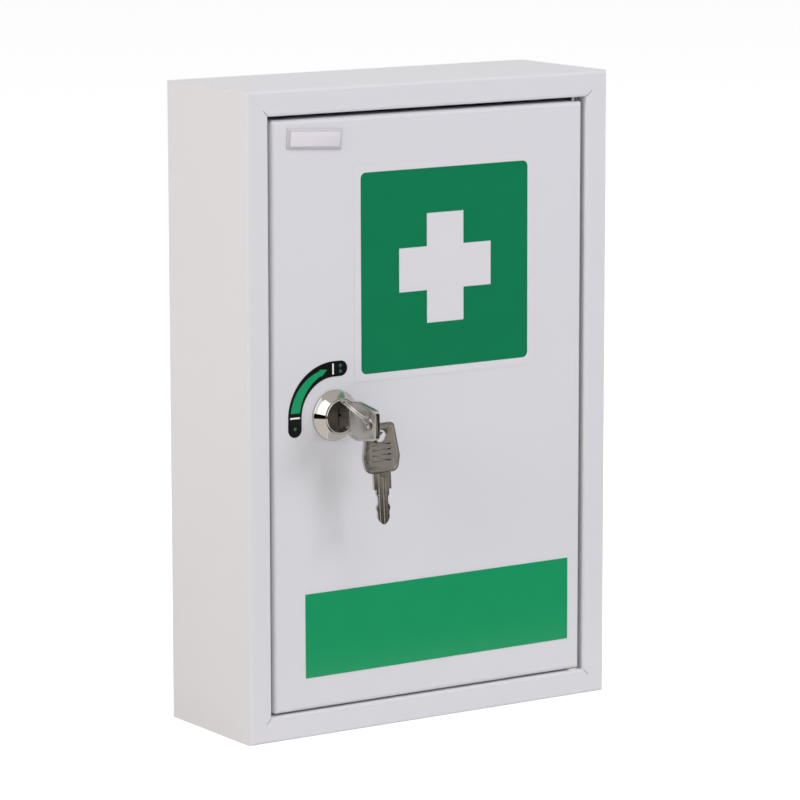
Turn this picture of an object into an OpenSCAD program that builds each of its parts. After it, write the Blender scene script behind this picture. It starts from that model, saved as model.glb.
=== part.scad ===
// Lockable medicine cabinet for wall mounting: folded sheet body with an inset
// door on two pivot pins, a cam lock, two shelves, and two keys on a split ring.
// x runs to the right, y to the wall and z up; the origin is the centre of the
// underside.

/* [Cabinet] */
// Width over the side walls
cabinet_w = 200; // [190:1:260]
// Depth from the front frame to the back panel
cabinet_d = 70; // [66:1:120]
// Height
cabinet_h = 300; // [280:1:400]
// Thickness of the sheet of the body and the shelves
sheet_t = 0.8; // [0.7:0.05:1]
// Outer radius of the folds of the body
fold_r = 1.6; // [1.4:0.1:2]
// Width of the frame round the door
frame_w = 12; // [11.5:0.5:16]
// Depth of the lips that are folded inwards round the opening
lip_d = 15.5; // [15:0.5:18]
// Width of the door stop on the lock side's lip
stop_w = 8; // [7:0.5:10]
// Joint left open between the end panels and the walls
seam = 0.15; // [0.05:0.05:0.3]
// Length of the open end of each mitre of the frame
mitre_l = 4; // [2:0.5:6]
// Width of the open end of each mitre
mitre_gap = 0.3; // [0.1:0.05:0.5]
// Height of the weld flanges under the end panels
weld_h = 10; // [6:1:14]

/* [Wall fixing] */
// Diameter of the four screw holes in the back
wall_hole_d = 5.5; // [4:0.5:8]
// Distance between the screw holes across the width
wall_hole_dx = 140; // [100:5:160]
// Distance between the screw holes over the height
wall_hole_dz = 220; // [210:5:240]

/* [Shelves] */
// Height of the upper shelf above the tip of the raised cam
upper_shelf_up = 14; // [12:1:30]
// Depth of the lower shelf's top under the lock's axis
lower_shelf_down = 45; // [30:1:60]
// Height of the lip along the front of each shelf
shelf_lip_h = 8; // [4:0.5:12]
// Height of the flanges that are welded to the walls
shelf_flange_h = 10; // [6:1:14]
// Distance of the shelves behind the lips of the frame
shelf_setback = 2; // [1:0.5:10]

/* [Door] */
// Gap beside the door at the lock
gap_left = 1.9; // [1.6:0.1:2.5]
// Gap beside the door at the hinge
gap_right = 1.8; // [1.5:0.1:2.5]
// Gap above the door
gap_top = 2; // [1.4:0.1:3]
// Gap under the door
gap_bottom = 0.7; // [0.6:0.1:1.5]
// Depth of the door's face behind the frame's
door_recess = 1; // [0.5:0.1:1.4]
// Thickness of the door's sheet
door_t = 0.8; // [0.7:0.05:1]
// Outer radius of the folds of the door
door_fold_r = 2.2; // [1.8:0.1:2.6]
// Depth of the door's folded edges
door_d = 12; // [11:0.5:12]
// Width of the strips folded back behind the upright edges
door_return_w = 10; // [8:0.5:14]
// Radius of the door's corners seen from the front
door_corner_r = 1.6; // [1:0.1:3]

/* [Pivots] */
// Diameter of the pivot pins
pin_d = 3; // [2.6:0.1:3.2]
// Distance of the pins from the door's edge
pin_in = 3; // [2.8:0.1:3.4]
// Distance of the pins behind the door's face
pin_back = 3; // [2.8:0.1:3.2]
// Diameter of the pins' heads
pin_head_d = 4.4; // [4:0.1:4.6]
// Height of the pins' heads
pin_head_h = 1.2; // [0.8:0.1:2]
// Length of the pins inside the door
pin_reach = 4; // [3:0.5:8]
// Running clearance of the pins in the door, on the radius
pin_fit = 0.06; // [0.03:0.01:0.1]
// Outer diameter of the washer under the door
washer_d = 5.4; // [5:0.1:6]
// Outer diameter of the clips on the pins
clip_d = 4.2; // [3.8:0.1:4.4]
// Thickness of the clips on the pins
clip_t = 0.5; // [0.3:0.1:1]

/* [Lock] */
// Distance of the lock's axis from the door's edge
lock_in = 33.1; // [30:0.1:36]
// Diameter of the conical head at the door
head_d = 23.8; // [22:0.1:25]
// Diameter of the head's rim
rim_d = 16.5; // [16.2:0.1:18]
// Height of the head
head_h = 6; // [4:0.1:8]
// Thread diameter of the barrel
barrel_d = 19; // [18.4:0.1:20]
// Width across the flats of the barrel
barrel_flat = 16; // [15.8:0.1:16.8]
// Diameter of the plug
plug_d = 13.9; // [13.8:0.05:14]
// Running clearance of the plug, on the radius
plug_fit = 0.05; // [0.03:0.01:0.08]
// Depth of the plug's face behind the rim
plug_recess = 0.8; // [0.4:0.1:2]
// Thickness of the ring nut
nut_h = 3.5; // [2.5:0.1:5]
// Width across the flats of the ring nut
nut_flat = 23; // [22:0.5:24]
// Thickness of the nut's washer and of the stop washer
washer_t = 0.8; // [0.6:0.1:1]
// Turn of the key from open to locked
lock_turn = 90; // [90:1:90]
// Width of the cam
cam_w = 12; // [11:0.5:14]
// Thickness of the cam
cam_t = 2; // [1.5:0.1:2.5]
// Reach of the locked cam behind the frame's lip
cam_bite = 6; // [4:0.5:8]
// Distance of the cam behind the lips
cam_gap = 0.8; // [0.5:0.1:1.5]
// Width of the square that carries the cam
square_w = 7; // [6.5:0.1:7.4]
// Diameter of the cam screw
screw_d = 4; // [3:0.5:4]
// Diameter of the cam screw's head
screw_head_d = 7.6; // [7:0.1:9]

/* [Wafers] */
// Number of wafers
wafer_n = 5; // [3:1:5]
// Distance from wafer to wafer
wafer_step = 2.5; // [2.2:0.1:2.6]
// Width of a wafer
wafer_w = 6; // [5.4:0.1:6.2]
// Height of a wafer
wafer_h = 12.2; // [12:0.05:12.3]
// Thickness of a wafer
wafer_t = 0.9; // [0.7:0.1:1.1]
// Travel of the wafers when the key is pulled
wafer_travel = 0.5; // [0.4:0.05:0.6]

/* [Keys] */
// Thickness of the bow's raised edge
bow_t = 2.2; // [2:0.1:2.6]
// Thickness of the bow inside its edge
bow_web_t = 1.5; // [1.2:0.1:1.8]
// Length of the bow
bow_l = 23; // [20:0.5:26]
// Greatest width of the bow
bow_w = 18.1; // [17:0.1:19.6]
// Width of the bow's free end
bow_end_w = 14; // [12:0.1:16]
// Width of the bow's raised edge
bow_rim = 1.1; // [0.8:0.1:1.3]
// Number of ribs across the bow
rib_n = 4; // [2:1:4]
// Distance from rib to rib
rib_step = 2.5; // [2:0.1:2.6]
// Diameter of the hole for the ring
key_hole_d = 5.6; // [5.4:0.1:6.4]
// Distance of the hole from the bow's free end
key_hole_in = 6; // [5.5:0.1:7]
// Width of the shoulder
shoulder_w = 8.6; // [8.4:0.1:9.6]
// Length of the shoulder
shoulder_l = 7.8; // [6:0.1:9]
// Thickness of the blade
blade_t = 2; // [1.8:0.1:2.2]
// Depth of the grooves along the key
groove_t = 0.5; // [0.3:0.1:0.7]
// Length of the blade inside the plug
blade_l = 16.4; // [15:0.1:16.6]
// Greatest width of the blade inside the plug
blade_w = 6.6; // [6.4:0.1:7.2]

/* [Key ring] */
// Mean diameter of the split ring
ring_d = 22.6; // [22.4:0.1:24]
// Width of the ring's wire across the ring
wire_w = 1.4; // [1.2:0.1:1.5]
// Thickness of each of the two turns
wire_t = 0.9; // [0.7:0.05:0.95]
// Length of the ring's chord over the key in the lock
ring_chord = 21.8; // [21.2:0.1:22.2]
// Lean of the chord from the horizontal
ring_lean = 17; // [16.5:0.5:18]
// Drop of the ring's free side from the horizontal
ring_drop = 38; // [35:1:41]
// Turn of the spare key towards the left
spare_turn = 9; // [5:1:14]
// Lean of the spare key from the vertical
spare_lean = 2.5; // [0:0.5:4]

/* [Labels] */
// Side of the square sign's white backing
sign_back = 100; // [90:1:110]
// Side of the green field of the sign
sign_field = 93; // [80:0.5:96]
// Corner radius of the green field
sign_r = 2.7; // [1:0.1:6]
// Length of the white cross
cross_l = 51.2; // [40:0.1:60]
// Width of the cross's arms
cross_w = 20.5; // [14:0.1:24]
// Sign's left edge to the right of the lock's axis
sign_side = 11.1; // [8:0.1:16]
// Sign's centre above the lock's axis
sign_up = 64; // [62:0.5:70]
// Turn of the sign on the door
sign_turn = 0.15; // [-1:0.05:1]
// Width of the green strip
strip_w = 148; // [120:1:150]
// Height of the green strip
strip_h = 39.4; // [30:0.1:45]
// Strip's centre to the right of the door's middle
strip_x = 4.8; // [0:0.1:6]
// Height of the strip's centre above the door's lower edge
strip_up = 35; // [30:0.5:45]
// Turn of the strip on the door
strip_turn = 0.2; // [-1:0.05:1]
// Thickness of a printed foil
foil_t = 0.2; // [0.1:0.05:0.3]
// Length of the small domed plate
plate_l = 29.3; // [24:0.1:34]
// Height of the small domed plate
plate_h = 9.6; // [8:0.1:11]
// Thickness of the small domed plate
plate_t = 1.3; // [0.8:0.1:2]
// Plate's centre from the door's left edge
plate_x = 22.8; // [20:0.1:26]
// Plate's centre under the door's top edge
plate_down = 9.2; // [9:0.1:14]
// Turn of the plate on the door
plate_turn = -3.2; // [-4:0.05:4]
// Mean radius of the curved lock label
band_r = 21.4; // [20:0.1:23]
// Width of the curved lock label
band_w = 7.1; // [6:0.1:7.5]
// Straight length of the label past the open mark
band_top_l = 3.4; // [2:0.1:5]
// Straight length of the label past the locked mark
band_side_l = 5; // [3:0.1:7]

/* [Hidden] */
$fn = 64;
e = 0.01;

half_w = cabinet_w / 2;
y_front = -cabinet_d / 2;
y_back = cabinet_d / 2;
y_lip = y_front + lip_d;
open_x = half_w - frame_w;
open_z = cabinet_h - frame_w;
fold_in = fold_r - sheet_t;
y_wall = y_back - sheet_t;

door_x0 = gap_left - open_x;
door_x1 = open_x - gap_right;
door_z0 = frame_w + gap_bottom;
door_z1 = open_z - gap_top;
door_y = y_front + door_recess;
door_back = door_y + door_d;
door_mid = (door_x0 + door_x1) / 2;
pivot_x = door_x1 - pin_in;
pivot_y = door_y + pin_back;
pin_r = pin_d / 2;
pin_press = 0.02;
rest_gap = 0.3;
fold_gap = 0.1;

lock_x = door_x0 + lock_in;
lock_z = (door_z0 + door_z1) / 2;
sign_mid = lock_x + sign_side + sign_back / 2;
rim_y = door_y - head_h;
plug_y = rim_y + plug_recess;
cam_y = y_lip + cam_gap;
stop_y = cam_y - washer_t;
barrel_y = stop_y - 0.1;
bore_r = plug_d / 2 + plug_fit;
collar_r = plug_d / 2 + 0.25;
collar_h = 1;
square_fit = 0.05;
cam_reach = lock_x + open_x + cam_bite;
screw_y = cam_y + cam_t + washer_t;
screw_in = 5;
screw_head_h = 2.6;
tab_turn = 40;
tab_r = barrel_d / 2 - 0.2;
disc_r = square_w * 0.5 * sqrt(2) + 1.6;

key_gap = 0.2;
key_y = plug_y - key_gap;
slot_w = blade_t + 0.2;
slot_h = blade_w + 0.4;
slot_l = blade_l + key_gap + 0.3;
wafer_slide = 0.1;
wafer_y = plug_y + 3.2;
window_h = blade_w + 2 * wafer_travel + 0.3;
window_w = blade_t + 0.4;
key_hole_v = shoulder_l + bow_l - key_hole_in;
bow_corner_r = 2.2;
bow_side_r = 7;
bow_neck_r = 3.4;

// The ring passes through the hole of the key in the lock, and hangs over it.
ring_r = ring_d / 2;
ring_off = sqrt(pow(ring_r, 2) - pow(ring_chord / 2, 2));
ring_hole = [lock_x, key_y - key_hole_v, lock_z];
chord_dir = [0, cos(ring_lean), sin(ring_lean)];
side_dir = [cos(ring_drop), sin(ring_lean) * sin(ring_drop), -cos(ring_lean) * sin(ring_drop)];
ring_centre = ring_hole + chord_dir * ring_chord / 2 + side_dir * ring_off;
// The spare key hangs at the lowest point of the ring.
low_side = cos(ring_lean) * sin(ring_drop);
low_chord = -sin(ring_lean);
low_n = norm([low_side, low_chord]);
ring_low = ring_centre + (side_dir * low_side + chord_dir * low_chord) * ring_r / low_n;
wire_over = norm([wire_w / 2, wire_t]) + 0.2;

shelf_y = y_lip + shelf_setback;
upper_shelf_z = lock_z + cam_reach + upper_shelf_up;
lower_shelf_z = lock_z - lower_shelf_down;

coat = "#d7d6d8";
chrome_tint = "#c3c3c5";
steel_tint = "#a9aaac";
brass_tint = "#b59a5b";

// Shapes that repeat.

// Rectangle with four round corners, about the origin.
module round_rect(w, d, r) {
    square([w - 2 * r, d], center = true);
    square([w, d - 2 * r], center = true);
    for (sx = [-1, 1], sy = [-1, 1])
        translate([sx * (w / 2 - r), sy * (d / 2 - r)])
            circle(r);
}

// Quarter of a folded sheet about the fold's centre; turn 0 is the +x +y quarter.
module fold(r, t, turn) {
    rotate(turn)
        intersection() {
            difference() {
                circle(r);
                circle(r - t);
            }
            square(r);
        }
}

// Rectangle from one corner to the opposite one.
module span(a, b) {
    translate([min(a.x, b.x), min(a.y, b.y)])
        square([abs(b.x - a.x), abs(b.y - a.y)]);
}

// Box from one corner to the opposite one.
module block(a, b) {
    translate([min(a.x, b.x), min(a.y, b.y), min(a.z, b.z)])
        cube([abs(b.x - a.x), abs(b.y - a.y), abs(b.z - a.z)]);
}

// Rod along y from y0 to y1 on the lock's axis.
module lock_rod(r, y0, y1) {
    translate([lock_x, y1, lock_z])
        rotate([90, 0, 0])
            cylinder(r = r, h = y1 - y0);
}

// Prism along y from y0 to y1 of a flat shape drawn in x and z.
module prism_y(y0, y1) {
    translate([0, y1, 0])
        rotate([90, 0, 0])
            linear_extrude(y1 - y0)
                children();
}

// The children and their copy at the other end of the cabinet.
module both_ends() {
    children();
    other_end() children();
}

module other_end() {
    translate([0, 0, cabinet_h])
        mirror([0, 0, 1])
            children();
}

// Body.

// Part of the frame that belongs to the top panel, bounded by the mitres.
module mitre_block(y0, y1, reach) {
    top = open_z + frame_w + 1;
    prism_y(y0, y1)
        polygon([[-open_x, open_z], [open_x, open_z], [open_x + reach, open_z + reach],
                 [open_x + reach, top], [-open_x - reach, top], [-open_x - reach, open_z + reach]]);
}

// Narrow cuts that leave the inner ends of the top mitres open.
module mitre_cuts() {
    for (s = [-1, 1])
        translate([s * open_x, y_front - e, open_z])
            rotate([0, s > 0 ? -45 : -135, 0])
                translate([-1, 0, -mitre_gap / 2])
                    cube([mitre_l + 1, sheet_t + 0.2, mitre_gap]);
}

// Section through the walls, the upright frame parts and their lips.
module wrap_section() {
    difference() {
        round_rect(cabinet_w, cabinet_d, fold_r);
        round_rect(cabinet_w - 2 * sheet_t, cabinet_d - 2 * sheet_t, fold_in);
        span([-open_x - fold_r, y_front - 1], [open_x + fold_r, y_front + fold_r]);
    }
    for (s = [-1, 1]) {
        translate([s * (open_x + fold_r), y_front + fold_r])
            fold(fold_r, sheet_t, s > 0 ? 180 : -90);
        span([s * open_x, y_front + fold_r],
             [s * (open_x + sheet_t), s > 0 ? y_lip : y_lip - fold_r]);
    }
    translate([fold_in - open_x, y_lip - fold_r])
        fold(fold_r, sheet_t, 90);
    span([fold_in - open_x, y_lip - sheet_t], [stop_w - open_x, y_lip]);
}

// Left wall, back and right wall with the upright frame parts, folded from one sheet.
module body_wrap() {
    color(coat)
        difference() {
            linear_extrude(cabinet_h)
                wrap_section();
            both_ends() {
                mitre_block(y_front - 1, y_front + fold_r, frame_w + 1);
                mitre_block(y_front + fold_r - e, y_lip + 1, frame_w - fold_r);
                // The stop ends at the lips of the end panels.
                block([-open_x, y_lip - fold_r, open_z - 4],
                      [stop_w - open_x + 1, y_lip + 1, open_z + 4]);
                mitre_cuts();
            }
            for (sx = [-1, 1], sz = [-1, 1])
                translate([sx * wall_hole_dx / 2, y_back + 1, (cabinet_h + sz * wall_hole_dz) / 2])
                    rotate([90, 0, 0])
                        cylinder(d = wall_hole_d, h = sheet_t + 2);
        }
}

// Section of the top panel: plate, frame part and lip.
module panel_section() {
    span([y_front + fold_r, cabinet_h - sheet_t], [y_wall - seam, cabinet_h]);
    translate([y_front + fold_r, cabinet_h - fold_r])
        fold(fold_r, sheet_t, 90);
    span([y_front, open_z + fold_r], [y_front + sheet_t, cabinet_h - fold_r]);
    translate([y_front + fold_r, open_z + fold_r])
        fold(fold_r, sheet_t, 180);
    span([y_front + fold_r, open_z], [y_lip, open_z + sheet_t]);
}

// Plan of the space inside the walls, less the seam.
module inner_plan() {
    in_x = half_w - sheet_t - seam;
    in_y = y_wall - seam;
    span([-in_x, y_front + fold_r], [in_x, in_y - fold_in]);
    span([fold_in - in_x, 0], [in_x - fold_in, in_y]);
    for (s = [-1, 1])
        translate([s * (in_x - fold_in), in_y - fold_in])
            circle(fold_in);
}

// Top panel with its frame part, and flanges for the welds to the walls.
module end_panel() {
    in_x = half_w - sheet_t - seam;
    in_y = y_wall - seam;
    low_z = cabinet_h - sheet_t - weld_h;
    difference() {
        intersection() {
            translate([-half_w, 0, 0])
                rotate([90, 0, 90])
                    linear_extrude(cabinet_w)
                        panel_section();
            mitre_block(y_front - 1, y_back, frame_w);
            union() {
                block([-half_w, y_front - 1, 0], [half_w, y_front + fold_r, cabinet_h]);
                linear_extrude(cabinet_h)
                    inner_plan();
            }
        }
        mitre_cuts();
        translate([pivot_x, pivot_y, open_z - 1])
            cylinder(r = pin_r + pin_press, h = sheet_t + 2);
    }
    for (s = [-1, 1])
        block([s * in_x, y_lip + 2, low_z], [s * (in_x - sheet_t), in_y - 4, cabinet_h - sheet_t]);
    block([4 - in_x, in_y - sheet_t, low_z], [in_x - 4, in_y, cabinet_h - sheet_t]);
}

module top_panel() {
    color(coat)
        end_panel();
}

module bottom_panel() {
    color(coat)
        other_end()
            end_panel();
}

// Shelf whose top is at height z, with a front lip and three flanges turned down.
module shelf(z) {
    in_x = half_w - sheet_t;
    block([-in_x, shelf_y + fold_in, z - sheet_t], [in_x, y_wall - sheet_t, z]);
    block([-in_x, shelf_y, z - sheet_t], [in_x, shelf_y + fold_in, z]);
    block([sheet_t - in_x, shelf_y, z], [in_x - sheet_t, shelf_y + sheet_t, z + shelf_lip_h]);
    block([-in_x + 1, y_wall - sheet_t, z - shelf_flange_h], [in_x - 1, y_wall, z]);
    for (s = [-1, 1])
        block([s * in_x, shelf_y, z - shelf_flange_h],
              [s * (in_x - sheet_t), y_wall - sheet_t - 1, z]);
}

module upper_shelf() {
    color(coat)
        shelf(upper_shelf_z);
}

module lower_shelf() {
    color(coat)
        shelf(lower_shelf_z);
}

// Pivots.

// Headed pins pressed into the lips above and below the door.
module pivot_pins() {
    color(steel_tint) {
        translate([pivot_x, pivot_y, 0]) {
            translate([0, 0, open_z + sheet_t])
                cylinder(d = pin_head_d, h = pin_head_h);
            translate([0, 0, door_z1 - door_t - pin_reach])
                cylinder(d = pin_d, h = open_z + sheet_t - (door_z1 - door_t - pin_reach) + e);
            translate([0, 0, frame_w - sheet_t - pin_head_h])
                cylinder(d = pin_head_d, h = pin_head_h);
            translate([0, 0, frame_w - sheet_t - e])
                cylinder(d = pin_d, h = door_z0 + door_t + pin_reach - (frame_w - sheet_t) + e);
        }
    }
}

// Push-on clips that hold the pins' free ends inside the door, clear of its folds.
module pin_clips() {
    color("#8c8d8f")
        translate([pivot_x, pivot_y, 0])
            for (z = [door_z1 - door_fold_r - fold_gap - clip_t, door_z0 + door_fold_r + fold_gap])
                translate([0, 0, z])
                    difference() {
                        cylinder(d = clip_d, h = clip_t);
                        translate([0, 0, -1])
                            cylinder(r = pin_r + pin_press, h = clip_t + 2);
                    }
}

// Washer on the lower pin that carries the door.
module pivot_washer() {
    color("#e4e2da")
        translate([pivot_x, pivot_y, frame_w])
            difference() {
                cylinder(d = washer_d, h = gap_bottom - 0.1);
                translate([0, 0, -1])
                    cylinder(r = pin_r + pin_press, h = gap_bottom + 2);
            }
}

// Rubber buffers on the stop, which meet the strip folded behind the door's edge.
module door_bumpers() {
    buffer_x = (fold_in + stop_w) / 2 - open_x;
    buffer_y = y_lip - sheet_t;
    buffer_r = (stop_w - fold_in) / 2 - 0.8;
    color("#3b3b3d")
        for (z = [cabinet_h * 0.2, cabinet_h * 0.8])
            translate([buffer_x, buffer_y, z])
                rotate([90, 0, 0])
                    cylinder(r = buffer_r, h = buffer_y - door_back - rest_gap);
}

// Door.

// Section of the door across its width, inset from the outer faces.
module door_plan(inset, back) {
    r = door_fold_r - inset;
    w = door_x1 - door_x0 - 2 * inset;
    d = door_d - inset - back;
    translate([door_mid, door_y + inset + d / 2])
        round_rect(w, d, r);
}

// Section of the door over its height, inset from the outer faces; open at the back.
module door_side(inset, y1) {
    r = door_fold_r - inset;
    span([door_y + inset + r, door_z0 + inset], [y1, door_z1 - inset]);
    span([door_y + inset, door_z0 + inset + r], [y1, door_z1 - inset - r]);
    for (z = [door_z0 + inset + r, door_z1 - inset - r])
        translate([door_y + inset + r, z])
            circle(r);
}

module door_form(inset, back, y1) {
    intersection() {
        translate([0, 0, door_z0 + inset])
            linear_extrude(door_z1 - door_z0 - 2 * inset)
                door_plan(inset, back);
        translate([door_x0, 0, 0])
            rotate([90, 0, 90])
                linear_extrude(door_x1 - door_x0)
                    door_side(inset, y1);
        prism_y(door_y - 1, door_back + 2)
            translate([door_mid, lock_z])
                round_rect(door_x1 - door_x0 - 2 * inset, door_z1 - door_z0 - 2 * inset,
                           max(0.2, door_corner_r - inset));
    }
}

// Outline of the barrel, with two flats, grown by a gap.
module barrel_outline(gap) {
    intersection() {
        circle(d = barrel_d + 2 * gap);
        square([barrel_flat + 2 * gap, barrel_d + 2], center = true);
    }
}

// Door folded from one sheet, with holes for the lock and the pins.
module door_panel() {
    color(coat)
        difference() {
            door_form(0, 0, door_back);
            door_form(door_t, door_t, door_back + 1);
            block([door_x0 + door_return_w, door_back - door_t - 0.5, door_z0 + door_t],
                  [door_x1 - door_return_w, door_back + 1, door_z1 - door_t]);
            prism_y(door_y - 1, door_y + door_t + 1)
                translate([lock_x, lock_z])
                    barrel_outline(0.1);
            for (z = [door_z0 - 1, door_z1 - door_t - 1])
                translate([pivot_x, pivot_y, z])
                    cylinder(r = pin_r + pin_fit, h = door_t + 2);
        }
}

// Labels.

// Places a foil on the door's face about the point x, z.
module on_door(x, z, turn, y0, y1) {
    translate([x, 0, z])
        rotate([0, -turn, 0])
            prism_y(y0, y1)
                children();
}

module cross_shape() {
    square([cross_l, cross_w], center = true);
    square([cross_w, cross_l], center = true);
}

module sign_backing() {
    color("#e9e8ea")
        on_door(sign_mid, lock_z + sign_up, sign_turn, door_y - foil_t, door_y)
            square(sign_back, center = true);
}

// Green field of the sign, left open where the backing shows as the white cross.
module sign_field_print() {
    color("#0a7d4f")
        on_door(sign_mid, lock_z + sign_up, sign_turn, door_y - 1.5 * foil_t, door_y - foil_t)
            difference() {
                round_rect(sign_field, sign_field, sign_r);
                cross_shape();
            }
}

module strip_label() {
    color("#12965f")
        on_door(door_mid + strip_x, door_z0 + strip_up, strip_turn, door_y - foil_t, door_y)
            square([strip_w, strip_h], center = true);
}

// Bar of width w and length l with its two upper edges bevelled.
module bevelled_bar(w, l) {
    edge_t = 0.45 * plate_t;
    bevel = 1.1 * plate_t;
    rotate([90, 0, 0])
        linear_extrude(l, center = true)
            polygon([[-w / 2, 0], [w / 2, 0], [w / 2, edge_t],
                     [w / 2 - bevel, plate_t], [bevel - w / 2, plate_t], [-w / 2, edge_t]]);
}

// Small raised plate with four bevelled edges, left bare.
module dome_plate() {
    color("#d9d9de")
        translate([door_x0 + plate_x, door_y, door_z1 - plate_down])
            rotate([90, 0, 0])
                rotate(plate_turn)
                    intersection() {
                        bevelled_bar(plate_l, plate_h);
                        rotate(90)
                            bevelled_bar(plate_h, plate_l);
                    }
}

// Curved stretch about the lock between two radii, from the left to the top.
module quarter_band(r, w) {
    intersection() {
        difference() {
            circle(r + w / 2);
            circle(r - w / 2);
        }
        translate([-r - w, 0])
            square(r + w);
    }
}

module lock_label() {
    color("#1b1c1c")
        on_door(lock_x, lock_z, 0, door_y - foil_t, door_y) {
            quarter_band(band_r, band_w);
            span([0, band_r - band_w / 2], [band_top_l, band_r + band_w / 2]);
            translate([band_top_l, band_r])
                circle(d = band_w);
            span([-band_r - band_w / 2, -band_side_l], [-band_r + band_w / 2, 0]);
            translate([-band_r, -band_side_l])
                circle(d = band_w);
        }
}

// Arrow along the label, narrower towards its head, from the locked mark to the open one.
module lock_arrow() {
    tail_w = band_w * 0.69;
    neck_w = band_w * 0.32;
    head_w = band_w * 0.5;
    sweep = 70;
    // Two circles apart by 2 x shift leave a band that narrows from tail to neck.
    shift = (tail_w - neck_w) / (2 - 2 * cos(sweep));
    even_w = tail_w - 2 * shift;
    y0 = door_y - 1.5 * foil_t;
    y1 = door_y - foil_t;
    color("#0b9159") {
        on_door(lock_x, lock_z, 0, y0, y1)
            difference() {
                translate([-shift, 0])
                    circle(band_r + even_w / 2);
                translate([shift, 0])
                    circle(band_r - even_w / 2);
                rotate(-sweep)
                    translate([-2 * band_r, 0])
                        square([4 * band_r, 2 * band_r]);
                span([-2 * band_r, -2 * band_r], [2 * band_r, 2.6]);
            }
        on_door(lock_x, lock_z, 0, y0, y1)
            rotate(90 - sweep)
                translate([0, band_r])
                    polygon([[-0.3, -head_w / 2], [-0.3, head_w / 2], [head_w, 0]]);
    }
}

// White lines at the open and the locked mark, with two dots and one dot.
module lock_marks() {
    color("#f2f2f2")
        on_door(lock_x, lock_z, 0, door_y - 1.5 * foil_t, door_y - foil_t) {
            translate([-0.8, band_r])
                square([0.8, band_w * 0.72], center = true);
            translate([-band_r, 0.4])
                square([band_w * 0.72, 0.8], center = true);
            for (z = [-1.3, 1.3])
                translate([band_top_l - 0.2, band_r + z])
                    circle(0.8);
            translate([-band_r, -band_side_l + 0.4])
                circle(0.8);
        }
}

// Lock.

// Ring sector on the lock's axis, from angle a0 counter-clockwise to a1 in front view.
module sector(r, a0, a1) {
    step = 30;
    n = ceil((a1 - a0) / step);
    turns = [for (i = [0:n]) a0 + (a1 - a0) * i / n];
    polygon(concat([[0, 0]], [for (a = turns) 1.3 * r * [cos(a), sin(a)]]));
}

// Conical head, threaded barrel and bore in one casting, with lugs that stop the turn.
module lock_housing() {
    color(chrome_tint)
        difference() {
            union() {
                translate([lock_x, door_y, lock_z])
                    rotate([90, 0, 0])
                        rotate_extrude()
                            polygon([[0, 0], [head_d / 2, 0], [head_d / 2, 0.5],
                                     [rim_d / 2 + 0.3, head_h - 0.3], [rim_d / 2, head_h],
                                     [0, head_h]]);
                prism_y(door_y, barrel_y)
                    translate([lock_x, lock_z])
                        barrel_outline(0);
                prism_y(barrel_y - 1, stop_y + 0.6)
                    translate([lock_x, lock_z])
                        intersection() {
                            difference() {
                                barrel_outline(0);
                                circle(disc_r + 0.3);
                            }
                            sector(barrel_d, lock_turn - 88 + tab_turn / 2, 268 - tab_turn / 2);
                        }
            }
            lock_rod(bore_r, rim_y - 1, barrel_y + 2);
            lock_rod(collar_r + plug_fit, rim_y - 1, plug_y + collar_h + 0.05);
            // Corner room for the wafers at the open and the locked position.
            for (turn = [0, lock_turn])
                translate([lock_x, 0, lock_z])
                    rotate([0, -turn, 0])
                        block([-wafer_w / 2 - 0.2, wafer_y - 1, 0],
                              [wafer_w / 2 + 0.2, wafer_y + (wafer_n - 1) * wafer_step + 1,
                               wafer_h / 2 + wafer_travel + 0.2]);
        }
}

module nut_washer() {
    inner_y = door_y + door_t;
    color(steel_tint)
        difference() {
            lock_rod(barrel_d / 2 + 2.4, inner_y, inner_y + washer_t);
            lock_rod(barrel_d / 2 + 0.1, inner_y - 1, inner_y + washer_t + 1);
        }
}

module ring_nut() {
    nut_y = door_y + door_t + washer_t;
    color(chrome_tint)
        difference() {
            intersection() {
                prism_y(nut_y, nut_y + nut_h)
                    translate([lock_x, lock_z])
                        circle(r = nut_flat / sqrt(3), $fn = 6);
                lock_rod(nut_flat / sqrt(3) - 0.5, nut_y - 1, nut_y + nut_h + 1);
            }
            lock_rod(barrel_d / 2 + 0.02, nut_y - 1, nut_y + nut_h + 1);
        }
}

// Square across the lock's axis from y0 to y1.
module lock_square(w, y0, y1) {
    prism_y(y0, y1)
        translate([lock_x, lock_z])
            square(w, center = true);
}

// Plug with keyway, wafer slots, collar and the square for the cam.
module lock_plug() {
    color("#4a4743")
        difference() {
            union() {
                lock_rod(plug_d / 2, plug_y, barrel_y);
                lock_rod(collar_r, plug_y, plug_y + collar_h);
                lock_square(square_w, barrel_y - e, cam_y + cam_t - 0.1);
            }
            block([lock_x - slot_w / 2, plug_y - 1, lock_z - slot_h / 2],
                  [lock_x + slot_w / 2, plug_y + slot_l, lock_z + slot_h / 2]);
            for (i = [0:wafer_n - 1])
                translate([lock_x, wafer_y + i * wafer_step, lock_z])
                    cube([wafer_w + wafer_slide, wafer_t + wafer_slide, 2 * plug_d], center = true);
            lock_rod(screw_d / 2 + 0.03, screw_y - screw_in - 0.2, cam_y + cam_t + 1);
        }
}

// Spring-loaded plates that the key draws into the plug.
module lock_wafers() {
    color(brass_tint)
        for (i = [0:wafer_n - 1])
            translate([lock_x, wafer_y + i * wafer_step, lock_z])
                difference() {
                    cube([wafer_w, wafer_t, wafer_h], center = true);
                    cube([window_w, wafer_t + 1, window_h], center = true);
                }
}

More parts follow.
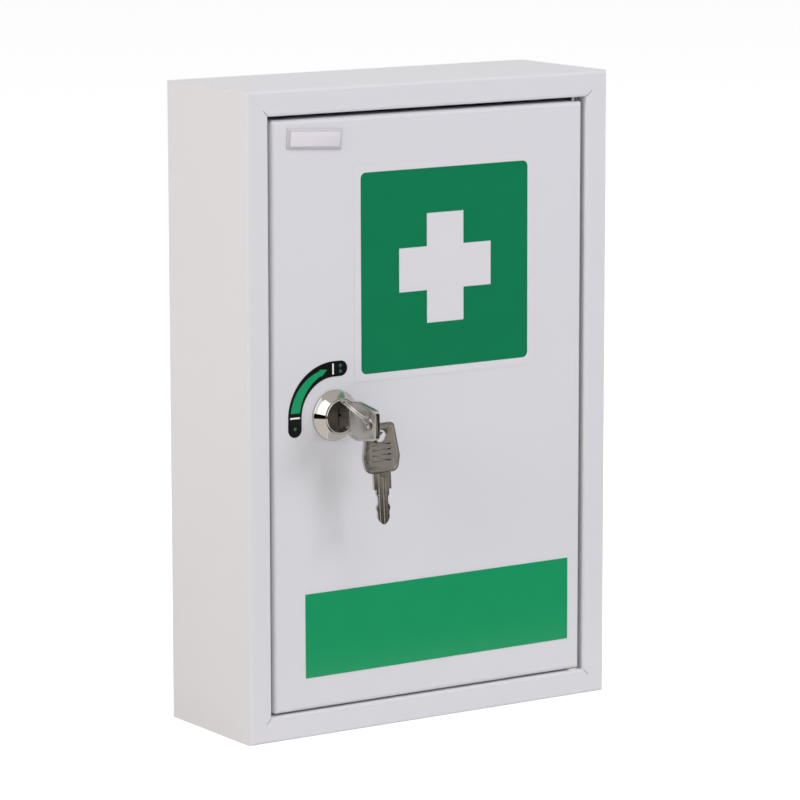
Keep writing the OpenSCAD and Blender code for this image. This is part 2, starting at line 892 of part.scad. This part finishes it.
// Disc on the square, whose tab runs between the lugs of the housing.
module stop_washer() {
    color(steel_tint)
        difference() {
            union() {
                lock_rod(disc_r, stop_y, cam_y);
                prism_y(stop_y, cam_y)
                    translate([lock_x, lock_z])
                        intersection() {
                            circle(tab_r);
                            sector(tab_r, 270 - tab_turn / 2, 270 + tab_turn / 2);
                        }
            }
            lock_square(square_w + 2 * square_fit, stop_y - 1, cam_y + 1);
        }
}

// Bolt of the lock: points up when open and to the left, behind the lip, when locked.
module lock_cam() {
    hub_r = square_w * 0.5 * sqrt(2) + 2.6;
    color(steel_tint)
        difference() {
            prism_y(cam_y, cam_y + cam_t)
                translate([lock_x, lock_z]) {
                    circle(hub_r);
                    span([-cam_w / 2, 0], [cam_w / 2, cam_reach - 2]);
                    span([2 - cam_w / 2, cam_reach - 3], [cam_w / 2 - 2, cam_reach]);
                    for (s = [-1, 1])
                        translate([s * (cam_w / 2 - 2), cam_reach - 2])
                            circle(2);
                }
            lock_square(square_w + 2 * square_fit, cam_y - 1, cam_y + cam_t + 1);
        }
}

module cam_washer() {
    y0 = cam_y + cam_t;
    color(steel_tint)
        difference() {
            lock_rod(square_w * 0.5 * sqrt(2) + 0.6, y0, y0 + washer_t);
            lock_rod(screw_d / 2 + 0.1, y0 - 1, y0 + washer_t + 1);
        }
}

// Pan-head screw with a cross recess that holds the cam on the plug.
module cam_screw() {
    color(chrome_tint)
        difference() {
            union() {
                lock_rod(screw_d / 2, screw_y - screw_in, screw_y + e);
                lock_rod(screw_head_d / 2, screw_y, screw_y + screw_head_h - 0.6);
                translate([lock_x, screw_y + screw_head_h - 0.6, lock_z])
                    rotate([-90, 0, 0])
                        cylinder(r1 = screw_head_d / 2, r2 = screw_head_d / 2 - 0.8, h = 0.6);
            }
            for (w = [[4.4, 0.9], [0.9, 4.4]])
                block([lock_x - w.x / 2, screw_y + 0.8, lock_z - w.y / 2],
                      [lock_x + w.x / 2, screw_y + screw_head_h + 1, lock_z + w.y / 2]);
        }
}

// Keys.

// Outline of the bow, drawn in from its edge; the free end points to -x.
module bow_outline(inset) {
    hull()
        for (s = [-1, 1]) {
            translate([bow_corner_r - shoulder_l - bow_l, s * (bow_end_w / 2 - bow_corner_r)])
                circle(bow_corner_r - inset, $fn = 24);
            translate([-shoulder_l - 0.31 * bow_l, s * (bow_w / 2 - bow_side_r)])
                circle(bow_side_r - inset, $fn = 48);
            translate([-shoulder_l - bow_neck_r, s * (bow_w / 2 - 0.7 - bow_neck_r)])
                circle(bow_neck_r - inset, $fn = 32);
        }
}

// Outline of the blade inside the plug, with its steps and its pointed tip.
module blade_outline() {
    half = blade_w / 2;
    edge = [[0, half - 0.2], [0.14, half - 0.2], [0.22, half - 0.9], [0.4, half - 0.9],
            [0.49, half], [0.55, half], [0.64, half - 0.5], [0.82, half - 0.5],
            [0.92, half - 1.4], [1, 0.5]];
    upper = [for (p = edge) [p.x * blade_l, p.y]];
    lower = [for (i = [len(edge) - 1:-1:0]) [edge[i].x * blade_l, -edge[i].y]];
    polygon(concat(upper, lower));
}

// Groove of width w along one side of the key, centred at v, from a start past the bow.
module key_groove(side, v, w, start) {
    translate([start - shoulder_l, v - w / 2, side > 0 ? blade_t / 2 - groove_t : -blade_t / 2 - 1])
        cube([shoulder_l + blade_l, w, groove_t + 1]);
}

// Key along x with its thickness along z: bow to -x, blade to +x from the shoulder.
module key_form() {
    difference() {
        union() {
            linear_extrude(bow_t, center = true)
                bow_outline(0);
            linear_extrude(blade_t, center = true) {
                span([-shoulder_l - 1, -shoulder_w / 2], [0, shoulder_w / 2]);
                translate([-e, 0])
                    blade_outline();
            }
        }
        for (s = [-1, 1])
            difference() {
                translate([0, 0, s * (bow_web_t / 2 + 1)])
                    linear_extrude(2, center = true)
                        bow_outline(bow_rim);
                // Plain ribs for the grip, on one side.
                if (s > 0)
                    for (i = [0:rib_n - 1])
                        translate([-key_hole_v + key_hole_d / 2 + 1 + i * rib_step, 0, 0])
                            cube([1, 0.52 * bow_w, bow_web_t + 0.4], center = true);
            }
        key_groove(1, -0.62 * shoulder_w / 2, 1.9, 0.4);
        key_groove(1, -0.02 * shoulder_w, 1, 2.4);
        key_groove(-1, 0.1 * shoulder_w, 1.3, 0.4);
        translate([-key_hole_v, 0, -bow_t])
            cylinder(d = key_hole_d, h = 2 * bow_t);
    }
}

// Key in the lock, upright as at the open mark.
module lock_key() {
    color("#a6a39e")
        translate([lock_x, key_y, lock_z])
            rotate([90, 0, 90])
                key_form();
}

// Split ring through the hole of the key in the lock, leaning over its neck.
module split_ring() {
    color(chrome_tint)
        translate(ring_hole)
            rotate([ring_lean, 0, 0])
                rotate([0, ring_drop, 0])
                    translate([ring_off, ring_chord / 2, 0])
                        rotate_extrude($fn = 96)
                            for (s = [-1, 1])
                                translate([ring_r, s * (wire_t / 2 - e)])
                                    round_rect(wire_w, wire_t, 0.3);
}

// Spare key hanging by its hole from the lowest point of the ring.
module spare_key() {
    color("#9b9894")
        translate(ring_low + [0, 0, wire_over - key_hole_d / 2])
            rotate([0, 0, -spare_turn])
                rotate([0, 90 - spare_lean, 0])
                    rotate([90, 0, 0])
                        translate([key_hole_v, 0, 0])
                            key_form();
}

body_wrap();
top_panel();
bottom_panel();
upper_shelf();
lower_shelf();
pivot_pins();
pin_clips();
pivot_washer();
door_bumpers();
door_panel();
lock_housing();
nut_washer();
ring_nut();
sign_backing();
sign_field_print();
strip_label();
dome_plate();
lock_label();
lock_arrow();
lock_marks();
lock_plug();
stop_washer();
lock_cam();
cam_washer();
cam_screw();
lock_wafers();
lock_key();
split_ring();
spare_key();
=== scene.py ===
import bmesh
import bpy
import math
from mathutils import Euler, Matrix, Vector


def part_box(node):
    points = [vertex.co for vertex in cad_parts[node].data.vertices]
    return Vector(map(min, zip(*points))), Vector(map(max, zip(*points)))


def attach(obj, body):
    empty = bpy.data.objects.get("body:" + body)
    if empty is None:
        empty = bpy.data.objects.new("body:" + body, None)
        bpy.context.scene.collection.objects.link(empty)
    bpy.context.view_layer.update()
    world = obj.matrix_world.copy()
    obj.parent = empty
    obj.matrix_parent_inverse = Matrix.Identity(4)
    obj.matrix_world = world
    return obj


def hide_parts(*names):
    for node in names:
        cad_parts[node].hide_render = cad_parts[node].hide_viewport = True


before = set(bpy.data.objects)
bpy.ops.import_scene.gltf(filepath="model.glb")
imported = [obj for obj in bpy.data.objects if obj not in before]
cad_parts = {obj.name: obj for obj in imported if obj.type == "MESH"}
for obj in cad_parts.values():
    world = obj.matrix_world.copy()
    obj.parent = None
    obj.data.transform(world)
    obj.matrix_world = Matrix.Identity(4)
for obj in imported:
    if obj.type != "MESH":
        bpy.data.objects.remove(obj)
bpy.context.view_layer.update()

# Body: walls, end panels and shelves.
# Folded from 0.8 mm sheet steel, spot welded and powder coated in one white. The coat is
# satin, with the faint orange peel of a baked powder that scatters the light.

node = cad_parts
MM = 0.001
COAT_CLOUD = 70 * MM
PEEL = 1.4 * MM
PEEL_HEIGHT = 0.006 * MM


def srgb(text):
    """Linear colour of an sRGB hex value."""
    parts = [int(text[i:i + 2], 16) / 255 for i in (1, 3, 5)]
    return [c / 12.92 if c <= 0.04045 else ((c + 0.055) / 1.055) ** 2.4 for c in parts] + [1.0]


def add(material, kind, settings=None, links=None):
    """Adds a node; links names its inputs and gives each the socket that feeds it."""
    new = material.node_tree.nodes.new(kind)
    for key, value in (settings or {}).items():
        if hasattr(new, key):
            setattr(new, key, value)
        else:
            new.inputs[key].default_value = value
    for key, source in (links or {}).items():
        material.node_tree.links.new(source, new.inputs[key])
    return new


def surface(name, low, high, cloud_size, settings, shine=None):
    """Material whose colour drifts between two hex values in clouds of a real size."""
    material = bpy.data.materials.new(name)
    material.use_nodes = True
    shader = material.node_tree.nodes["Principled BSDF"]
    for key, value in settings.items():
        shader.inputs[key].default_value = value
    place = add(material, "ShaderNodeTexCoord").outputs["Object"]
    cloud = add(material, "ShaderNodeTexNoise", {"Scale": 1 / cloud_size, "Detail": 2.0},
                {"Vector": place}).outputs["Fac"]
    tint = add(material, "ShaderNodeMix", {"data_type": "RGBA"}, {"Factor": cloud})
    tint.inputs["A"].default_value = srgb(low)
    tint.inputs["B"].default_value = srgb(high)
    material.node_tree.links.new(tint.outputs["Result"], shader.inputs["Base Color"])
    if shine:
        gloss = add(material, "ShaderNodeMapRange", {"To Min": shine[0], "To Max": shine[1]},
                    {"Value": cloud})
        material.node_tree.links.new(gloss.outputs["Result"], shader.inputs["Roughness"])
    return material, shader, place


def relief(material, shader, place, size, height, detail=1.5):
    """Fine uneven surface whose bumps have a real size and height."""
    grain = add(material, "ShaderNodeTexNoise", {"Scale": 1 / size, "Detail": detail},
                {"Vector": place})
    bump = add(material, "ShaderNodeBump", {"Strength": 1.0, "Distance": height},
               {"Height": grain.outputs["Fac"]})
    material.node_tree.links.new(bump.outputs["Normal"], shader.inputs["Normal"])


def coat(piece, material):
    """Gives a piece one material in place of those it came with."""
    piece.data.materials.clear()
    piece.data.materials.append(material)


enamel, shader, place = surface("powder_coated_steel", "#d8d8dc", "#dadade", COAT_CLOUD,
                                {"IOR": 1.5}, (0.38, 0.44))
relief(enamel, shader, place, PEEL, PEEL_HEIGHT)
for name in ("body_wrap", "top_panel", "bottom_panel", "upper_shelf", "lower_shelf", "door_panel"):
    coat(node[name], enamel)

# Pivots of the door.
# Two headed steel pins pressed into the frame's lips, with push-on clips. Zinc plated:
# pale grey with a faint cloud and a dull shine.

ZINC_CLOUD = 4.5 * MM

zinc = surface("zinc_plated_steel", "#b3b4b7", "#c9cacc", ZINC_CLOUD, {"Metallic": 1.0},
               (0.28, 0.45))[0]
for name in ("pivot_pins", "pin_clips"):
    coat(node[name], zinc)

# Washer that carries the door.
# Natural nylon, stamped from sheet and slipped over the lower pin. It looks waxy and
# slightly see-through.

NYLON_CLOUD = 2 * MM
NYLON_DEPTH = (1.0 * MM, 0.9 * MM, 0.7 * MM)

nylon, shader, place = surface("natural_nylon", "#e2dfd3", "#ece9df", NYLON_CLOUD,
                               {"IOR": 1.53, "Roughness": 0.45, "Subsurface Weight": 0.2})
shader.inputs["Subsurface Radius"].default_value = NYLON_DEPTH
coat(node["pivot_washer"], nylon)

# Buffers.
# Two round rubber buffers glued to the door stop: dark and matt, with a dusty skin.

RUBBER_GRAIN = 1.1 * MM
RUBBER_GRAIN_HEIGHT = 0.01 * MM

rubber, shader, place = surface("black_rubber", "#2b2b2d", "#424244", RUBBER_GRAIN,
                                {"IOR": 1.52, "Roughness": 0.8})
relief(rubber, shader, place, RUBBER_GRAIN, RUBBER_GRAIN_HEIGHT, 4.0)
coat(node["door_bumpers"], rubber)

# Sign and strip.
# Self-adhesive vinyl, screen printed. White vinyl carries the green field of the sign and
# shows as the border and the cross; the strip is green vinyl throughout. All are satin.

INK_CLOUD = 17 * MM
FOIL_WAVE = 6 * MM
FOIL_WAVE_HEIGHT = 0.004 * MM


def vinyl(name, low, high, rough):
    """Printed vinyl: even colour with the slight waviness of a rolled-on foil."""
    material, shader, place = surface(name, low, high, INK_CLOUD,
                                      {"IOR": 1.46, "Roughness": rough})
    relief(material, shader, place, FOIL_WAVE, FOIL_WAVE_HEIGHT)
    return material


coat(node["sign_backing"], vinyl("white_vinyl", "#dad9dd", "#dcdbdf", 0.3))
coat(node["sign_field_print"], vinyl("green_ink", "#087a4e", "#097e51", 0.22))
coat(node["strip_label"], vinyl("green_vinyl", "#0f955e", "#119961", 0.22))

# Lock label.
# A curved black vinyl stuck on round the lock, with a green arrow and light marks printed on
# it: a white line at each end, and dim green dots past the lines. The inks are satin.

OPEN_DOT_ZONE = 6.0 * MM
LOCKED_DOT_ZONE = 6.5 * MM

coat(node["lock_label"], vinyl("black_vinyl", "#0d0d0d", "#121212", 0.3))
coat(node["lock_arrow"], vinyl("green_arrow_ink", "#0a9660", "#0b9a63", 0.3))
marks, shader, place = surface("mark_ink", "#ececec", "#f2f2f2", INK_CLOUD,
                               {"IOR": 1.46, "Roughness": 0.45})
low_corner, high_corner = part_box("lock_label")
ends = add(marks, "ShaderNodeSeparateXYZ", links={"Vector": place})
past_open = add(marks, "ShaderNodeMath", {"operation": "GREATER_THAN"}, {0: ends.outputs["X"]})
past_open.inputs[1].default_value = high_corner[0] - OPEN_DOT_ZONE
past_locked = add(marks, "ShaderNodeMath", {"operation": "LESS_THAN"}, {0: ends.outputs["Z"]})
past_locked.inputs[1].default_value = low_corner[2] + LOCKED_DOT_ZONE
dots = add(marks, "ShaderNodeMath", {"operation": "MAXIMUM"},
           {0: past_open.outputs[0], 1: past_locked.outputs[0]})
white = shader.inputs["Base Color"].links[0].from_socket
ink = add(marks, "ShaderNodeMix", {"data_type": "RGBA"}, {"Factor": dots.outputs[0], "A": white})
ink.inputs["B"].default_value = srgb("#2f6b55")
marks.node_tree.links.new(ink.outputs["Result"], shader.inputs["Base Color"])
coat(node["lock_marks"], marks)

# Small plate.
# Silver foil under clear glossy resin with four mitred slopes, stuck to the door's upper
# corner. The slopes carry painted shade, a greyer copy of the face's material, and their edges are
# softly rounded.

RESIN_CLOUD = 3 * MM
PLATE_EDGE = 0.12 * MM
FACING_FRONT = 0.9
WELD = 0.002 * MM
FLAT_ANGLE = math.radians(1)
EDGE_ANGLE = math.radians(30)


def worn_copy(name, new_name, width, segments=2):
    """Copy of a CAD piece with its sharp edges rounded off as handling leaves them."""
    bm = bmesh.new()
    bm.from_mesh(node[name].data)
    bmesh.ops.remove_doubles(bm, verts=bm.verts, dist=WELD)
    bmesh.ops.dissolve_degenerate(bm, edges=bm.edges, dist=WELD)
    bmesh.ops.dissolve_limit(bm, angle_limit=FLAT_ANGLE, verts=bm.verts, edges=bm.edges)
    mesh = bpy.data.meshes.new(new_name)
    bm.to_mesh(mesh)
    bm.free()
    piece = bpy.data.objects.new(new_name, mesh)
    bpy.context.scene.collection.objects.link(piece)
    mesh.shade_smooth()
    bevel = piece.modifiers.new("broken_edges", "BEVEL")
    bevel.width = width
    bevel.segments = segments
    bevel.limit_method = "ANGLE"
    bevel.angle_limit = EDGE_ANGLE
    bevel.harden_normals = True
    bevel.use_clamp_overlap = True
    return piece


plate = worn_copy("dome_plate", "resin_plate", PLATE_EDGE)
foil = surface("silver_foil_under_resin", "#e0dce4", "#e6e2e9", RESIN_CLOUD,
               {"Metallic": 0.05, "Roughness": 0.4, "Coat Weight": 1.0,
                "Coat Roughness": 0.04, "Coat IOR": 1.5})[0]
# Painted shade: the slopes take a greyer copy of the face's foil colour in place of the light they
# turn away from.
shaded_slopes = surface("silver_resin_painted_shade_slope", "#c3c1c7", "#cac8ce", RESIN_CLOUD,
                 {"Metallic": 0.12, "Roughness": 0.25})[0]
coat(plate, foil)
plate.data.materials.append(shaded_slopes)
# Faces that look to the front keep the foil; every other face gets the painted-shade slope copy.
for face in plate.data.polygons:
    face.material_index = 0 if abs(face.normal.y) > FACING_FRONT else 1
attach(plate, "door")
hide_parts("dome_plate")

# Lock housing.
# Zinc die casting, polished and chrome plated to a bright mirror. The conical head has a
# rounded foot, and a narrow rim with a bead round the plug; the barrel has two flats.

HEAD_R = 11.9
RIM_R = 8.25
RIM_Y = -40.0
DOOR_Y = -34.0
BORE_R = 7.0
SEAT_R = 7.25
SEAT_Y = -38.15
ROOM_R = 7.4
ROOM_Y = -37.1
HEAD_STEPS = 144
CUT_SLACK = 1e-7
CREASE = math.radians(40)
CHROME_CLOUD = 3 * MM
SCUFF = 0.35 * MM  # coarser than real scuffs, so that they show
plug_low, plug_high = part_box("lock_plug")
LOCK = Vector(((plug_low[0] + plug_high[0]) / 2, 0, (plug_low[2] + plug_high[2]) / 2))


def piece_from(bm, name):
    """Object at the origin from a finished bmesh, shaded smooth between its edges."""
    bmesh.ops.recalc_face_normals(bm, faces=bm.faces)
    mesh = bpy.data.meshes.new(name)
    bm.to_mesh(mesh)
    bm.free()
    piece = bpy.data.objects.new(name, mesh)
    bpy.context.scene.collection.objects.link(piece)
    mesh.shade_smooth()
    mesh.set_sharp_from_angle(angle=CREASE)
    return piece


bm = bmesh.new()
bm.from_mesh(node["lock_housing"].data)
bmesh.ops.remove_doubles(bm, verts=bm.verts, dist=WELD)
bmesh.ops.bisect_plane(bm, geom=bm.verts[:] + bm.edges[:] + bm.faces[:], dist=CUT_SLACK,
                       plane_co=(0, DOOR_Y * MM, 0), plane_no=(0, -1, 0), clear_outer=True)
bmesh.ops.bridge_loops(bm, edges=[e for e in bm.edges if e.is_boundary])
outline = [(SEAT_R, SEAT_Y), (SEAT_R, RIM_Y + 0.3), (SEAT_R + 0.05, RIM_Y + 0.13),
           (SEAT_R + 0.14, RIM_Y + 0.03), (SEAT_R + 0.24, RIM_Y), (SEAT_R + 0.34, RIM_Y + 0.03),
           (SEAT_R + 0.43, RIM_Y + 0.13), (SEAT_R + 0.48, RIM_Y + 0.3), (RIM_R, RIM_Y + 0.3),
           (RIM_R + 0.2, RIM_Y + 0.36), (RIM_R + 0.32, RIM_Y + 0.55),
           (HEAD_R - 0.7, DOOR_Y - 1.62), (HEAD_R - 0.5, DOOR_Y - 1.46),
           (HEAD_R - 0.22, DOOR_Y - 1.22), (HEAD_R - 0.06, DOOR_Y - 0.9),
           (HEAD_R, DOOR_Y - 0.5), (HEAD_R, DOOR_Y), (ROOM_R, DOOR_Y), (ROOM_R, ROOM_Y),
           (BORE_R, ROOM_Y), (BORE_R, SEAT_Y)]
verts = [bm.verts.new(LOCK + Vector((r * MM, y * MM, 0))) for r, y in outline]
edges = [bm.edges.new((verts[i - 1], verts[i])) for i in range(len(verts))]
bmesh.ops.spin(bm, geom=verts + edges, cent=LOCK, axis=(0, 1, 0), angle=math.tau,
               steps=HEAD_STEPS, use_merge=True)
housing = piece_from(bm, "lock_head_and_barrel")


def plated(name, low, high, rough, grain, scuff=0.0):
    """Plated metal; grain is the size of its polishing clouds, scuff the height of its marks."""
    material, shader, place = surface(name, low, high, grain, {"Metallic": 1.0},
                                      (rough * 0.7, rough * 1.3))
    if scuff:
        relief(material, shader, place, SCUFF, scuff, 3.0)
    return material


coat(housing, plated("chrome_plating", "#cac8c4", "#d2d0cc", 0.05, CHROME_CLOUD))
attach(housing, "door")
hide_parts("lock_housing")

# Ring nut and its washer.
# Both steel and zinc plated, the nut turned and the washer stamped. They clamp the door's
# sheet against the head.

for name in ("ring_nut", "nut_washer"):
    coat(node[name], zinc)

# Plug.
# Turned brass with a dark plating. Its edges are broken by the tool, so that a fine light
# line runs round the face and along the keyway.

PLUG_EDGE = 0.18 * MM
PLUG_CLOUD = 1.5 * MM
PLUG_SCUFF_HEIGHT = 0.002 * MM

plug = worn_copy("lock_plug", "lock_plug_turned", PLUG_EDGE)
coat(plug, plated("dark_plated_brass", "#625e59", "#726d67", 0.3, PLUG_CLOUD, PLUG_SCUFF_HEIGHT))
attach(plug, "plug")
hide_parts("lock_plug")

# Stop washer, cam, its washer and screw.
# Steel, zinc plated. The stop washer and the cam are stamped and sit on the plug's square,
# and the screw holds them through its washer.

for name in ("stop_washer", "lock_cam", "cam_washer", "cam_screw"):
    coat(node[name], zinc)

# Wafers.
# Stamped from brass strip and left unplated, a little tarnished. They slide in the plug.

BRASS_CLOUD = 1 * MM

coat(node["lock_wafers"], plated("stamped_brass", "#a98f55", "#bfa566", 0.3, BRASS_CLOUD))

# Keys.
# Stamped from nickel silver with a pressed field and ribs in each bow, tumbled and plated: a
# grey shine with fine scuffs and soft edges.

KEY_EDGE = 0.25 * MM
KEY_CLOUD = 2.5 * MM
KEY_SCUFF_HEIGHT = 0.003 * MM

nickel = plated("satin_nickel", "#cac6c0", "#d6d2cc", 0.24, KEY_CLOUD, KEY_SCUFF_HEIGHT)
for name, new_name, body in (("lock_key", "key_in_lock", "key"),
                             ("spare_key", "key_on_ring", "spare")):
    key = worn_copy(name, new_name, KEY_EDGE, 3)
    coat(key, nickel)
    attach(key, body)
    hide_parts(name)

# Split ring.
# Flat spring wire, hardened and bright nickel plated, two turns side by side. The wire
# crosses from one turn to the other in a short step, where both of its ends lie.

KEY_HOLE_Y = -64.2 * MM
RING_R = 11.3 * MM
RING_CHORD = 21.8 * MM
RING_LEAN = math.radians(17)
RING_DROP = math.radians(38)
RING_CLOUD = 2 * MM
WIRE_W = 1.4 * MM
WIRE_T = 0.88 * MM
WIRE_ROUND = 0.28 * MM
WIRE_WELD = 0.001 * MM
TURN_GAP = 0.02 * MM
END_GAP = math.radians(2)
STEP_AT = math.radians(40)
STEP_TURN = math.radians(32)
FLAT_TURN = math.tau - STEP_TURN - END_GAP
FLAT_STEPS = 90
CROSS_STEPS = 12

bm = bmesh.new()
bmesh.ops.create_grid(bm, x_segments=1, y_segments=1, size=0.5,
                      matrix=Matrix.Translation((RING_R, 0, -WIRE_T / 2 - TURN_GAP / 2))
                      @ Matrix.Rotation(math.pi / 2, 4, "X")
                      @ Matrix.Diagonal((WIRE_W, WIRE_T, 1, 1)))
bmesh.ops.bevel(bm, geom=bm.verts[:], offset=WIRE_ROUND, offset_type="OFFSET", segments=3,
                profile=0.5, affect="VERTICES", material=-1)
bmesh.ops.rotate(bm, verts=bm.verts, cent=(0, 0, 0),
                 matrix=Matrix.Rotation(STEP_AT + STEP_TURN / 2 + END_GAP / 2, 3, "Z"))
wire_end = bm.verts[:] + bm.edges[:] + bm.faces[:]
for angle, steps, climb in ((FLAT_TURN, FLAT_STEPS, 0),
                            (STEP_TURN, CROSS_STEPS, WIRE_T + TURN_GAP),
                            (FLAT_TURN, FLAT_STEPS, 0)):
    wire_end = bmesh.ops.spin(bm, geom=wire_end, cent=(0, 0, 0), axis=(0, 0, 1),
                              dvec=(0, 0, climb / steps), angle=angle, steps=steps)["geom_last"]
bmesh.ops.remove_doubles(bm, verts=bm.verts, dist=WIRE_WELD)
ring_off = math.sqrt(RING_R ** 2 - (RING_CHORD / 2) ** 2)
bmesh.ops.transform(bm, verts=bm.verts, matrix=Matrix.Translation((LOCK.x, KEY_HOLE_Y, LOCK.z))
                    @ Matrix.Rotation(RING_LEAN, 4, "X") @ Matrix.Rotation(RING_DROP, 4, "Y")
                    @ Matrix.Translation((ring_off, RING_CHORD / 2, 0)))
ring = piece_from(bm, "split_ring_wire")
coat(ring, plated("bright_nickel", "#bcbab6", "#cac8c4", 0.12, RING_CLOUD))
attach(ring, "ring")
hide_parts("split_ring")

# Set: floor, lamps and camera.
# A plain white floor, a white surround, wide soft lamps, dark and pale cards that show only
# in reflections, and the camera of the photograph: a long lens, from the left and above.

FLOOR_REACH = 8.0
FLOOR_LIFT = 0.5
FILL = 0.5
LOCK_AT = (LOCK.x, -37 * MM, LOCK.z)
MIDDLE = (0, 0, 0.15)
CAMERA_AT = (-1.07147, -1.62556, 0.47122)
VIEW_FROM_LEFT = 33.527
VIEW_DOWN = 9.465
VIEW_ROLL = -0.068
SENSOR_MM = 36
LENS_MM = 188.4


def seen_directly(owner):
    """Socket that is 1 for what the camera sees directly or in a mirror, and 0 for fill light."""
    rays = add(owner, "ShaderNodeLightPath")
    mirrored = add(owner, "ShaderNodeMath", {"operation": "MAXIMUM"},
                   {0: rays.outputs["Is Glossy Ray"], 1: rays.outputs["Is Transmission Ray"]})
    seen = add(owner, "ShaderNodeMath", {"operation": "MAXIMUM"},
               {0: rays.outputs["Is Camera Ray"], 1: mirrored.outputs[0]})
    return seen.outputs[0]


bm = bmesh.new()
bmesh.ops.create_grid(bm, x_segments=1, y_segments=1, size=FLOOR_REACH)
floor = piece_from(bm, "floor")
paper = bpy.data.materials.new("white_paper")
paper.use_nodes = True
shader = paper.node_tree.nodes["Principled BSDF"]
shader.inputs["Base Color"].default_value = srgb("#f2f2f2")
shader.inputs["Roughness"].default_value = 0.9
shader.inputs["Specular IOR Level"].default_value = 0.1
shader.inputs["Emission Color"].default_value = (1, 1, 1, 1)
lift = add(paper, "ShaderNodeMapRange", {"To Max": FLOOR_LIFT}, {"Value": seen_directly(paper)})
paper.node_tree.links.new(lift.outputs["Result"], shader.inputs["Emission Strength"])
floor.data.materials.append(paper)

world = bpy.data.worlds.new("studio")
bpy.context.scene.world = world
world.use_nodes = True
back = world.node_tree.nodes["Background"]
back.inputs["Color"].default_value = (1, 1, 1, 1)
level = add(world, "ShaderNodeMapRange", {"To Min": FILL, "To Max": 1.0},
            {"Value": seen_directly(world)})
world.node_tree.links.new(level.outputs["Result"], back.inputs["Strength"])


def facing(where, towards):
    """Turn that points an object's -z from one place to another."""
    return (Vector(towards) - Vector(where)).to_track_quat("-Z", "Y").to_matrix().to_4x4()


def softbox(name, where, towards, width, height, watts, tint):
    """Rectangular area lamp that faces a point; reflections show the cards in its stead."""
    light = bpy.data.lights.new(name, "AREA")
    light.shape = "RECTANGLE"
    light.size = width
    light.size_y = height
    light.energy = watts
    light.color = srgb(tint)[:3]
    lamp = bpy.data.objects.new(name, light)
    lamp.matrix_world = Matrix.Translation(where) @ facing(where, towards)
    lamp.visible_glossy = False
    bpy.context.scene.collection.objects.link(lamp)


def card(name, where, towards, width, height, tint, strength=1.0):
    """Plain card of an even brightness that shows only in reflections."""
    bm = bmesh.new()
    bmesh.ops.create_grid(bm, x_segments=1, y_segments=1, size=0.5,
                          matrix=Matrix.Diagonal((width, height, 1, 1)))
    bmesh.ops.transform(bm, verts=bm.verts,
                        matrix=Matrix.Translation(where) @ facing(where, towards))
    piece = piece_from(bm, name)
    paint = bpy.data.materials.new(name)
    paint.use_nodes = True
    shader = paint.node_tree.nodes["Principled BSDF"]
    shader.inputs["Base Color"].default_value = (0, 0, 0, 1)
    shader.inputs["Specular IOR Level"].default_value = 0
    shader.inputs["Emission Color"].default_value = srgb(tint)
    shader.inputs["Emission Strength"].default_value = strength
    piece.data.materials.append(paint)
    piece.visible_camera = False
    piece.visible_diffuse = False
    piece.visible_shadow = False
    piece.visible_transmission = False


softbox("lamp_left", (-1.85, -0.4, 1.1), MIDDLE, 0.9, 0.9, 16, "#fff5e8")
softbox("lamp_front", (1.3, -2.1, 1.5), MIDDLE, 1.2, 0.8, 27, "#f5f4ff")
softbox("lamp_above", (0.0, -0.9, 2.0), MIDDLE, 0.5, 0.3, 4, "#ffffff")
card("front_card", (0.75, -1.7, 0.6), (0, 0, 0.6), 3.4, 1.2, "#1c1c1c")
card("front_floor_card", (0.75, -0.92, 0.001), (0.75, -0.92, 1), 3.0, 1.56, "#1c1c1c")
card("spare_floor_card", (0.13, -0.8, 0.002), (0.13, -0.8, 1), 0.36, 0.7, "#b6b1aa")
card("left_floor_card", (-0.51, -0.1, 0.001), (-0.51, -0.1, 1), 0.82, 1.2, "#e6e0d8")
card("near_floor_card", (0.2, -0.088, 0.001), (0.2, -0.088, 1), 0.6, 0.104, "#e6e0d8")
card("low_left_card", (-0.66, -0.19, 0.096), (0, -0.04, 0.096), 1.2, 0.188, "#101010")
card("left_card", (-1.3, -0.3, 0.95), LOCK_AT, 0.9, 2.0, "#ffffff", 1.7)
card("ceiling_card", (0.1, 0.1, 2.1), LOCK_AT, 3.6, 3.6, "#c8c5be")

lens = bpy.data.cameras.new("camera")
lens.sensor_width = SENSOR_MM
lens.lens = LENS_MM
lens.clip_end = 50
camera = bpy.data.objects.new("camera", lens)
camera.location = CAMERA_AT
aim = Euler((math.radians(90 - VIEW_DOWN), 0, math.radians(-VIEW_FROM_LEFT))).to_matrix()
camera.rotation_euler = (aim @ Matrix.Rotation(math.radians(VIEW_ROLL), 3, "Z")).to_euler()
bpy.context.scene.collection.objects.link(camera)
bpy.context.scene.camera = camera
bpy.context.scene.view_settings.view_transform = "Standard"
